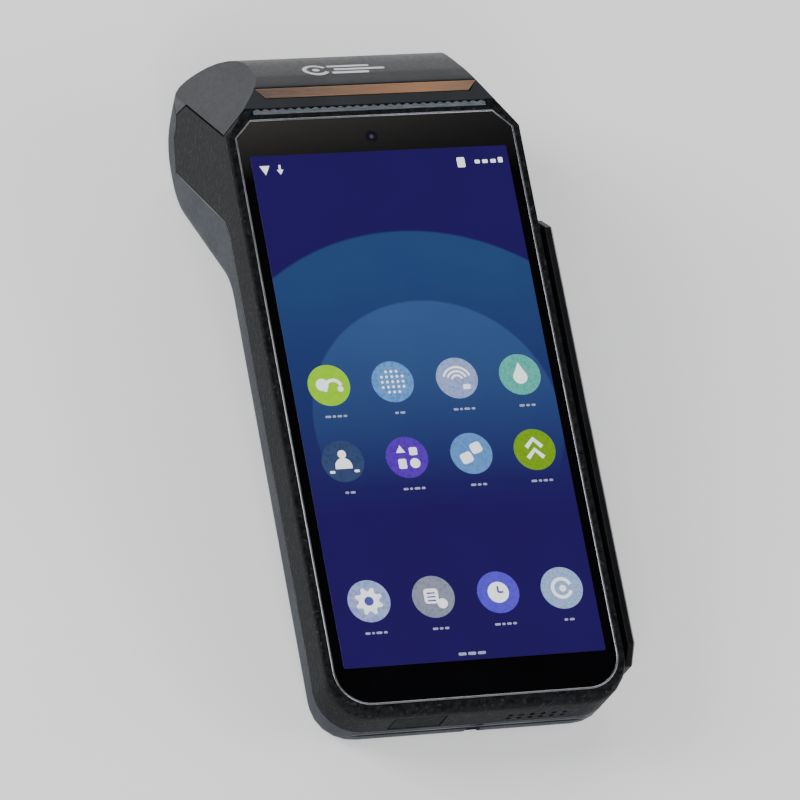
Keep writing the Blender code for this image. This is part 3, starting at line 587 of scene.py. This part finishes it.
ICON_X = (-22.5, -7.2, 8.3, 23.6)
ICON_Y = (5.3, -13.2, -46.9)
ICON_RADIUS = 5.0
ICON_COLOURS = (
    (((150, 218, 0), (160, 226, 20)), ((76, 136, 212), (108, 158, 220)), ((136, 156, 212), (160, 178, 224)),
     ((70, 172, 158), (96, 190, 176))),
    (((50, 66, 104), (58, 74, 114)), ((84, 28, 176), (94, 40, 190)), ((84, 138, 208), (100, 150, 216)),
     ((108, 158, 14), (122, 168, 30))),
    (((140, 158, 216), (166, 182, 230)), ((128, 134, 156), (144, 150, 170)), ((82, 64, 214), (92, 76, 222)),
     ((136, 168, 220), (162, 188, 230))),
)
for row, (y, colours) in enumerate(zip(ICON_Y, ICON_COLOURS)):
    for column, (x, (first, second)) in enumerate(zip(ICON_X, colours)):
        name = f"icon_{row + 1}_{column + 1}"
        plates(name, [circle(x, y, ICON_RADIUS, 56)], IMAGE_TOP, ICON_TOP,
               lit(name, colour(*first), colour(*second), 0.9 + 0.2 * column), chamfer=0.01)

# Generic pictograms, row by row: none of them copies a real application's mark.
pictures = []
x, y = ICON_X[0], ICON_Y[0]
pictures += [circle(x - 1.6, y + 0.2, 1.5, 24), stroke(arc(x + 1.0, y - 0.8, 2.0, 20, 200), 0.8),
             circle(x + 2.6, y - 1.0, 0.7, 16)]
x = ICON_X[1]
pictures += [circle(x + 1.25 * i, y + 1.25 * j, 0.34, 10)
             for i in range(-2, 3) for j in range(-2, 3) if abs(i) + abs(j) < 4]
x = ICON_X[2]
pictures += [stroke(arc(x, y - 0.6, radius, 20, 160), 0.5) for radius in (1.3, 2.3, 3.3)]
pictures += [oblong(x + 2.0, y - 2.2, 1.8, 1.2, 0.3)]
x = ICON_X[3]
pictures += [circle(x, y - 0.6, 1.7, 24), [(x - 1.5, y + 0.1), (x + 1.5, y + 0.1), (x, y + 3.0)]]
x, y = ICON_X[0], ICON_Y[1]
pictures += [circle(x, y + 1.7, 1.0, 20),
             arc(x, y - 1.2, 2.0, 0, 180) + [(x - 2.0, y - 1.8), (x + 2.0, y - 1.8)],
             oblong(x + 2.9, y - 2.5, 1.2, 0.6, 0.2), oblong(x - 2.9, y - 2.5, 1.2, 0.6, 0.2)]
x = ICON_X[1]
pictures += [[(x - 2.4, y + 1.2), (x - 0.2, y + 1.2), (x - 1.3, y + 3.0)],
             oblong(x + 1.7, y + 1.4, 1.9, 1.9, 0.4), oblong(x - 1.3, y - 1.5, 1.9, 2.4, 0.4),
             circle(x + 1.7, y - 1.5, 1.2, 20)]
x = ICON_X[2]
pictures += [oblong(x - 1.3, y - 1.0, 2.9, 2.6, 0.7, 20), oblong(x + 1.3, y + 1.3, 2.7, 2.6, 0.7, 20)]
x = ICON_X[3]
pictures += [stroke([(x - 1.9, y + 0.6), (x, y + 2.6), (x + 1.9, y + 0.6)], 1.0),
             stroke([(x - 1.9, y - 2.0), (x, y), (x + 1.9, y - 2.0)], 1.0)]
y = ICON_Y[2]
pictures += [toothed(ICON_X[0], y, 2.4, 3.3, 8)]
pictures += [oblong(ICON_X[1] - 0.5, y + 0.2, 3.4, 3.6, 0.8), circle(ICON_X[1] + 1.9, y - 1.7, 1.2, 20)]
pictures += [circle(ICON_X[2], y, 2.5, 32)]
pictures += [stroke(arc(ICON_X[3], y, 2.2, 20, 340, 30), 0.8), circle(ICON_X[3] + 0.2, y - 0.1, 0.8, 16)]

# Stand-ins for the names under the icons are rows of dashes, not lettering; one more row ends the page.
DASH_WIDTHS = ((1.4, 0.8, 1.1, 0.9), (0.9, 1.2), (1.2, 0.7, 1.4, 0.9), (1.3, 0.9, 1.0))
DASH_GAP, DASH_HEIGHT, DASH_DROP, DASH_SHIFT = 0.35, 0.55, 7.6, 0.4
captions = []
for row, y in enumerate(ICON_Y):
    for column, x in enumerate(ICON_X):
        widths = DASH_WIDTHS[(row + column) % len(DASH_WIDTHS)]
        start = x - (sum(widths) + DASH_GAP * (len(widths) - 1)) / 2 + DASH_SHIFT
        for width in widths:
            captions.append(oblong(start + width / 2, y - DASH_DROP, width, DASH_HEIGHT, 0.25, count=3))
            start += width + DASH_GAP
captions += [oblong(-0.6 + 2.3 * i, -60.9, 1.9, 0.7, 0.3, count=3) for i in range(-1, 2)]
caption_grey = lit("caption_grey", colour(150, 154, 190), colour(178, 182, 212), 2.0)
plates("icon_captions", captions, IMAGE_TOP, CAPTION_TOP, caption_grey)

# Status bar: a filled fan and a down arrow on the left, a card shape and dashes on the right.
pictures += [[(-29.4, 59.9), (-27.0, 59.9), (-28.2, 57.6)], stroke([(-24.6, 60.0), (-24.6, 58.4)], 0.5),
             [(-25.4, 58.8), (-23.8, 58.8), (-24.6, 57.6)]]
pictures += [oblong(19.4, 58.6, 1.9, 2.5, 0.3), oblong(23.4, 58.6, 1.2, 0.9, 0.2),
             oblong(25.3, 58.6, 1.3, 0.9, 0.2), oblong(27.3, 58.6, 1.3, 0.9, 0.2),
             oblong(29.1, 58.8, 1.1, 1.3, 0.2)]
white_pixels = lit("screen_white", colour(232, 236, 246), colour(250, 251, 254), 2.0, 1.3)
plates("screen_marks", pictures, ICON_TOP, MARK_TOP, white_pixels)

# Darker details on the white pictograms of the last row: wheel hub, sheet lines and clock hands.
y = ICON_Y[2]
details = [circle(ICON_X[0], y, 1.1, 24)]
details += [oblong(ICON_X[2], y + 0.75, 0.45, 1.5, 0.2), oblong(ICON_X[2] + 0.6, y, 1.3, 0.45, 0.2)]
details += [oblong(ICON_X[1] - 0.5, y + 0.9 - 0.9 * i, 2.0, 0.35, 0.15) for i in range(3)]
deep_pixels = lit("screen_deep", colour(72, 76, 150), colour(84, 88, 168), 0.6)
plates("screen_mark_details", details, MARK_TOP, DETAIL_TOP, deep_pixels)

# ---------------------------------------------------------------- outside details


def facing(origin, along, upward):
    """Matrix of a flat drawing, in millimetres, that lies on the device at origin."""
    along, upward = Vector(along).normalized(), Vector(upward).normalized()
    turned = Matrix((along, upward, along.cross(upward))).transposed().to_4x4()
    return DEVICE_MM @ Matrix.Translation(Vector(origin)) @ turned


def device_box(name):
    """Lowest and highest corner of a CAD node, in device millimetres."""
    to_device = DEVICE_MM.inverted()
    places = [to_device @ v.co for v in nodes[name].data.vertices]
    return [Vector(pick(p[i] for p in places) for i in range(3)) for pick in (min, max)]


RAY_START_METRES = 0.02


def drape(piece, node, direction, lift):
    """Lays the piece's drawing on a CAD node's surface, lifted by a little; its own thickness is kept."""
    surface = BVHTree.FromPolygons([v.co for v in nodes[node].data.vertices],
                                   [p.vertices[:] for p in nodes[node].data.polygons])
    inward = (TURN.to_3x3() @ Vector(direction)).normalized()
    level = max(vertex.co.dot(inward) for vertex in piece.data.vertices)
    for vertex in piece.data.vertices:
        hit = surface.ray_cast(vertex.co - inward * RAY_START_METRES, inward)[0]
        if hit:
            vertex.co = hit + inward * (vertex.co.dot(inward) - level - lift * MM)


RING_POINTS = 40


def circle_line(x, y, z, radius, axis="Z"):
    """Closed circular path round the device's z or x axis."""
    turns = [math.tau * i / RING_POINTS for i in range(RING_POINTS)]
    if axis == "Z":
        return [(x + radius * math.cos(a), y + radius * math.sin(a), z) for a in turns]
    return [(x, y + radius * math.cos(a), z + radius * math.sin(a)) for a in turns]


print_white = fine_plastic("printed_white", colour(196, 198, 202), colour(224, 226, 230), 0.45)
# Near-black for dark print and parts on the camera ring, USB tongue and heater line, and painted shade in the
# screw drives and vent holes.
dark_print_and_shade = fine_plastic("dark_print_and_painted_shade", colour(6, 6, 8), colour(14, 14, 17), 0.55, Specular_IOR_Level=0.2)
# Light grey that paints the highlights on the rail edge and the card slot lip, and is plain trim on the plate
# border, the camera ring and the button signs.
highlight_and_trim_grey = fine_plastic("painted_highlight_and_trim", colour(92, 94, 98), colour(128, 130, 134), 0.4)
# Light grey that paints the highlight along the rear shell's seam.
seam_highlight_grey = fine_plastic("painted_seam_highlight", colour(120, 123, 128), colour(150, 153, 158), 0.4)
black_package = fine_plastic("chip_package", colour(20, 20, 22), colour(34, 34, 37), 0.5)

# Front camera behind its window in the glass; a small glowing grey dot on its lens is a painted glint.
CAMERA_X, CAMERA_Y = -1.1, 66.1
plates("front_camera_window", [circle(CAMERA_X, CAMERA_Y, 1.45)], 0.0, 0.03, looks["lens_glass"],
       chamfer=0.01)
bead("front_camera_ring", circle_line(CAMERA_X, CAMERA_Y, 0.0, 1.5), 0.06, dark_print_and_shade,
     closed=True)
painted_lens_glint = lit("painted_lens_glint", colour(88, 88, 92), colour(116, 116, 122), 3.0, 0.25)
plates("front_camera_glint", [circle(CAMERA_X, CAMERA_Y, 0.5, 24)], 0.03, 0.05, painted_lens_glint)

# Swipe rail: a light bead along its front edge, which drops at both ends, paints the highlight of that edge.
rail_low, rail_high = device_box("swipe_rail")
edge_x, edge_z = rail_high.x - 0.2, rail_high.z - 0.08
bead("rail_edge_highlight", [(edge_x, rail_high.y - 0.3, rail_high.z - 5.2), (edge_x, rail_high.y - 4.0, edge_z),
                   (edge_x, rail_low.y + 4.0, edge_z), (edge_x, rail_low.y + 0.3, rail_high.z - 4.0)],
     0.16, highlight_and_trim_grey)

# Painted highlight of the rear shell's edge: a light bead that shows all along the seam at both sides.
SEAM_LINE = [(-63.0, -10.35), (47.55, -10.35), (51.5, -11.87), (58.0, -19.0), (65.7, -27.7), (76.3, -39.6)]
SEAM_X, SEAM_RADIUS = 35.47, 0.3
for side, sign in (("left", -1), ("right", 1)):
    bead(f"painted_seam_highlight_{side}", [(SEAM_X * sign, y, z) for y, z in SEAM_LINE], SEAM_RADIUS, seam_highlight_grey)

# Generic mark on the hood's slope: a ring with three bars, none of them a maker's sign.
SLOPE_UP, SLOPE_IN = (0, 0.668, -0.744), (0, -0.744, -0.668)
hood_face = facing((-3.0, 85.0, -4.2), (1, 0, 0), SLOPE_UP)
mark = [stroke(arc(-7.0, 0.0, 2.7, 30, 330, 28), 1.0), circle(-7.0, 0.0, 0.9, 20)]
mark += [oblong(1.4, 2.1, 10.4, 1.1, 0.5), oblong(3.6, 0.0, 12.4, 1.1, 0.5), oblong(0.8, -2.1, 9.0, 1.1, 0.5)]
hood_mark = plates("hood_mark", mark, 0.0, 0.05, print_white, "printer_door",
                   matrix=hood_face)
drape(hood_mark, "printer_door", SLOPE_IN, 0.02)

# Lower end: a light bead that paints the highlight on the lip of the card slot, USB tongue and its contacts.
LIP_Y, LIP_Z, LIP_HALF = -74.02, -12.0, 27.9
bead("card_slot_lip_highlight", [(-LIP_HALF, LIP_Y, LIP_Z), (LIP_HALF, LIP_Y, LIP_Z)], 0.1, highlight_and_trim_grey)
port_low, _ = device_box("usb_port")
tongue = facing((-14.0, port_low.y + 0.5, -6.45), (1, 0, 0), (0, 1, 0))
plates("usb_tongue", [oblong(0, 2.2, 6.6, 4.2, 0.3)], -0.3, 0.3, dark_print_and_shade, chamfer=0.05,
       matrix=tongue)
plates("usb_contacts", [oblong(-2.4 + 0.6 * i, 1.6, 0.3, 2.4, 0.08, count=2) for i in range(9)], 0.3, 0.33,
       looks["brass"], matrix=tongue)


def seen_from_below(z):
    """Matrix of a drawing that faces down from height z, with x to the left."""
    return facing((0, 0, z), (-1, 0, 0), (0, 1, 0))


# Back: blank plate, grip ribs, bezels of the camera and flash, and dark stars on the screws that paint the
# shade in their drives.
UNDER = seen_from_below(-18.0)
plate_foil = fine_plastic("plate_foil", colour(58, 60, 64), colour(70, 72, 76), 0.34)
plates("blank_plate", [oblong(0, -48.5, 34.0, 15.0, 1.4)], -0.1, 0.08, plate_foil,
       chamfer=0.04, matrix=UNDER)
BORDER_X, BORDER_Y, BORDER_WIDTH = (-15.4, 15.4), (-54.4, -42.6), 0.3
border = [[(x, y) for x in BORDER_X] for y in BORDER_Y] + [[(x, y) for y in BORDER_Y] for x in BORDER_X]
plates("blank_plate_border", [stroke(line, BORDER_WIDTH) for line in border], 0.08, 0.12, highlight_and_trim_grey,
       matrix=UNDER)
door_ribs = [oblong(0, -24.5 + 1.8 * i, 16.0 - 1.6 * i, 0.8, 0.4) for i in range(4)]
plates("battery_door_ribs", door_ribs, -0.1, 0.28, looks["shell_plastic"], "battery_door",
       0.12, UNDER)
latch_ribs = [oblong(0, -33.6 + 1.1 * i, 7.6, 0.55, 0.27) for i in range(3)]
plates("battery_latch_ribs", latch_ribs, -0.1, 0.26, looks["black_plastic"], "battery_latch",
       0.1, UNDER)
REAR_CAMERA_X, FLASH_X, REAR_CAMERA_Y = -20.0, -12.0, 30.9
bead("rear_camera_bezel", circle_line(REAR_CAMERA_X, REAR_CAMERA_Y, -17.95, 2.75), 0.24, rim,
     closed=True)
bead("rear_camera_inner", circle_line(REAR_CAMERA_X, REAR_CAMERA_Y, -17.93, 1.25), 0.08, highlight_and_trim_grey,
     closed=True)
bead("flash_bezel", circle_line(FLASH_X, REAR_CAMERA_Y, -17.95, 1.68), 0.16, rim, closed=True)
# Dark stars on the screw heads paint the shade inside their drives.
for number in range(1, 5):
    low, high = device_box(f"housing_screw_{number}")
    middle = (low + high) / 2
    drive = facing((middle.x, middle.y, low.z), (-1, 0, 0), (0, 1, 0))
    plates(f"screw_drive_shade_{number}", [toothed(0, 0, 0.55, 0.95, 6)], -0.05, 0.02, dark_print_and_shade,
           matrix=drive)

# Buttons: raised signs without lettering, and a ring round the door release.
power_sign = [stroke(arc(0, 0, 0.85, 120, 420, 24), 0.25), oblong(0, 0.75, 0.25, 1.1, 0.1)]
plus_and_minus = [oblong(0, 2.9, 0.3, 1.3, 0.12), oblong(0, 2.9, 1.3, 0.3, 0.12),
                  oblong(0, -2.9, 1.3, 0.3, 0.12)]
for name, marks in (("power_button", power_sign), ("volume_rocker", plus_and_minus)):
    low, high = device_box(name)
    outward = facing((high.x, (low.y + high.y) / 2, (low.z + high.z) / 2), (0, 0, -1), (0, 1, 0))
    plates(f"{name}_sign", marks, -0.05, 0.05, highlight_and_trim_grey, name, 0.02, outward)
low, high = device_box("door_release_button")
press_y, press_z = (low.y + high.y) / 2, (low.z + high.z) / 2
bead("release_button_ring", circle_line(high.x, press_y, press_z, 2.7, "X"), 0.14, looks["copper_finish"],
     "release_button", closed=True)

# ---------------------------------------------------------------- inside details
# Main board: chips as (x, y, width, height), their pins, and small parts between them.
BOARD_BACK = seen_from_below(-7.4)
packages = [(19.0, -11.0, 9.0, 9.0), (-24.0, 11.0, 4.4, 8.0), (17.5, 34.5, 6.0, 5.0),
            (0.0, -42.0, 12.0, 8.0), (18.0, -40.0, 8.0, 6.0), (-18.0, -40.0, 6.0, 10.0),
            (-24.0, 30.0, 4.0, 5.0), (15.5, 9.0, 4.0, 3.0)]
plates("board_packages", [oblong(-x, y, w, h, 0.3, count=2) for x, y, w, h in packages], 0.0, 0.85,
       black_package, chamfer=0.12, matrix=BOARD_BACK)
pins = [oblong(-x - w / 2 + 0.5 + i, y + edge * (h / 2 + 0.35), 0.45, 0.9, 0.1, count=2)
        for x, y, w, h in packages for i in range(int(w)) for edge in (-1, 1)]
plates("board_pins", pins, 0.0, 0.25, looks["steel"], matrix=BOARD_BACK)
passives = [(-14 + 3.1 * i, -30.0 + 1.9 * (i % 3)) for i in range(10)]
passives += [(22.0 - 0.4 * (i % 2), 2.5 * i - 2) for i in range(5)]
plates("board_passives", [oblong(-x, y, 1.5, 0.8, 0.1, count=2) for x, y in passives], 0.0, 0.5,
       looks["cardboard"], chamfer=0.05, matrix=BOARD_BACK)
# Dark discs on the shield can paint the shade inside its vent holes.
vents = [circle(4.0 + 3.2 * i, 21.0 + 3.2 * j, 0.55, 12) for i in range(-4, 5) for j in range(-3, 4)]
plates("shield_can_vent_shade", vents, -0.05, 0.02, dark_print_and_shade, matrix=seen_from_below(-9.3))

# Battery: label with two bands, and contacts.
BATTERY_BACK = seen_from_below(-15.7)
plates("battery_label", [oblong(0, 1.0, 38.0, 30.0, 1.5)], -0.05, 0.05, looks["white_plastic"],
       chamfer=0.02, matrix=BATTERY_BACK)
plates("battery_label_bands", [oblong(0, 12.0, 34.0, 2.4, 0.6), oblong(0, -10.2, 34.0, 1.2, 0.5)], 0.05, 0.07,
       looks["battery_wrap"], matrix=BATTERY_BACK)
plates("battery_contacts", [oblong(-6.0 + 4.0 * i, -22.6, 2.2, 3.0, 0.2) for i in range(4)], -0.05, 0.06,
       looks["brass"], chamfer=0.02, matrix=BATTERY_BACK)

# Print head: heater line and the leads below it.
head_face = facing((0, 72.9, -9.2), (-1, 0, 0), (0, 0, 1))
plates("heater_line", [oblong(0, 0, 47.0, 0.5, 0.2)], -0.02, 0.05, dark_print_and_shade, "print_head", 0.02,
       head_face)
plates("head_leads", [oblong(-22.0 + 1.0 * i, -1.9, 0.35, 2.6, 0.1, count=2) for i in range(45)], -0.02, 0.02,
       looks["copper_foil"], "print_head", matrix=head_face)

# Loose end of the paper, TAB_TURN radians round the roll.
TAB_TURN = 1.0
roll_low, roll_high = device_box("paper_roll")
roll_y, roll_z = (roll_low.y + roll_high.y) / 2, (roll_low.z + roll_high.z) / 2
roll_radius = (roll_high.y - roll_low.y) / 2
cosine, sine = math.cos(TAB_TURN), math.sin(TAB_TURN)
tab = facing((0, roll_y + roll_radius * cosine, roll_z + roll_radius * sine), (1, 0, 0), (0, -sine, cosine))
paper_end = [(-28.3, -3.2), (28.3, -3.2), (28.3, 0.6), (22.0, 1.6), (-28.3, 0.9)]
plates("paper_end", [paper_end], -0.08, 0.1, looks["paper"], "paper", 0.03, tab)

# End ring of the motor.
low, high = device_box("stepper_motor")
motor_y, motor_z = (low.y + high.y) / 2, (low.z + high.z) / 2
bead("motor_end_ring", circle_line(low.x, motor_y, motor_z, 3.6, "X"), 0.2, looks["steel"],
     closed=True)

# ---------------------------------------------------------------- stage, light and camera
floor_look = Look("studio_floor", 0.75)
floor_look.paint(floor_look.mixed(floor_look.noise(0.02, 4.0), colour(236, 236, 236), colour(242, 242, 242)))
floor_look.glow(colour(244, 245, 247), 0.4)
floor_look.relief(floor_look.noise(0.8, 3.0), 0.05, 0.02)
FLOOR_HALF_METRES = 4.0
floor_mesh = bmesh.new()
bmesh.ops.create_grid(floor_mesh, x_segments=8, y_segments=8, size=FLOOR_HALF_METRES)
floor_data = bpy.data.meshes.new("studio_floor")
floor_mesh.to_mesh(floor_data)
floor_mesh.free()
floor_data.materials.append(floor_look.material)
floor = bpy.data.objects.new("studio_floor", floor_data)
bpy.context.scene.collection.objects.link(floor)
floor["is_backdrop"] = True

# World: bright round the horizon and dark overhead, so that the glass stays black.
world = bpy.data.worlds.new("studio")
bpy.context.scene.world = world
world.use_nodes = True
tree = world.node_tree
backdrop = tree.nodes["Background"]
direction = tree.nodes.new("ShaderNodeTexCoord")
parts = tree.nodes.new("ShaderNodeSeparateXYZ")
shade = tree.nodes.new("ShaderNodeValToRGB")
horizon, zenith = shade.color_ramp.elements
horizon.position, horizon.color = 0.0, (0.95, 0.96, 0.98, 1)
zenith.position, zenith.color = 0.9, (0.07, 0.075, 0.085, 1)
tree.links.new(direction.outputs["Generated"], parts.inputs[0])
tree.links.new(parts.outputs[2], shade.inputs["Fac"])
tree.links.new(shade.outputs["Color"], backdrop.inputs["Color"])
backdrop.inputs["Strength"].default_value = 0.75


MIDDLE = Vector((0.0, 0.0, 0.03))


def softbox(name, place, width, height, power):
    """A rectangular lamp in watts, aimed at the terminal; places and sizes are in metres."""
    lamp = bpy.data.lights.new(name, "AREA")
    lamp.shape = "RECTANGLE"
    lamp.size, lamp.size_y, lamp.energy = width, height, power
    holder = bpy.data.objects.new(name, lamp)
    holder.location = place
    holder.rotation_mode = "QUATERNION"
    holder.rotation_quaternion = (MIDDLE - Vector(place)).to_track_quat("-Z", "Y")
    bpy.context.scene.collection.objects.link(holder)


softbox("key_light", (-1.15, 0.35, 0.75), 0.7, 0.7, 14)
softbox("front_light", (-0.5, -1.2, 0.9), 0.8, 0.8, 12)
softbox("fill_light", (1.2, -0.5, 0.8), 0.9, 0.9, 8)
softbox("back_light", (0.3, 1.3, 0.6), 1.2, 0.5, 8)

# The camera stands in the device frame, in millimetres, with its right and up directions.
CAMERA_PLACE = Vector((-504.77, -518.86, 1332.25))
CAMERA_RIGHT = Vector((0.94135, -0.17507, 0.28845))
CAMERA_UP = Vector((0.05530, 0.92335, 0.37994))
CAMERA_SHIFT_RIGHT, CAMERA_SHIFT_UP = -6.0, 1.2
camera_data = bpy.data.cameras.new("camera")
camera_data.sensor_width = 36.0
camera_data.lens = 301.0
camera_data.clip_start, camera_data.clip_end = 0.05, 20.0
camera = bpy.data.objects.new("camera", camera_data)
bpy.context.scene.collection.objects.link(camera)
right, up = CAMERA_RIGHT.normalized(), CAMERA_UP.normalized()
back = right.cross(up)
turn = TURN.to_3x3() @ Matrix((right, up, back)).transposed()
camera.rotation_mode = "QUATERNION"
camera.rotation_quaternion = turn.to_quaternion()
camera.location = spot(*(CAMERA_PLACE + CAMERA_SHIFT_RIGHT * right + CAMERA_SHIFT_UP * up))
bpy.context.scene.camera = camera

bpy.context.view_layer.update()
low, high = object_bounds()
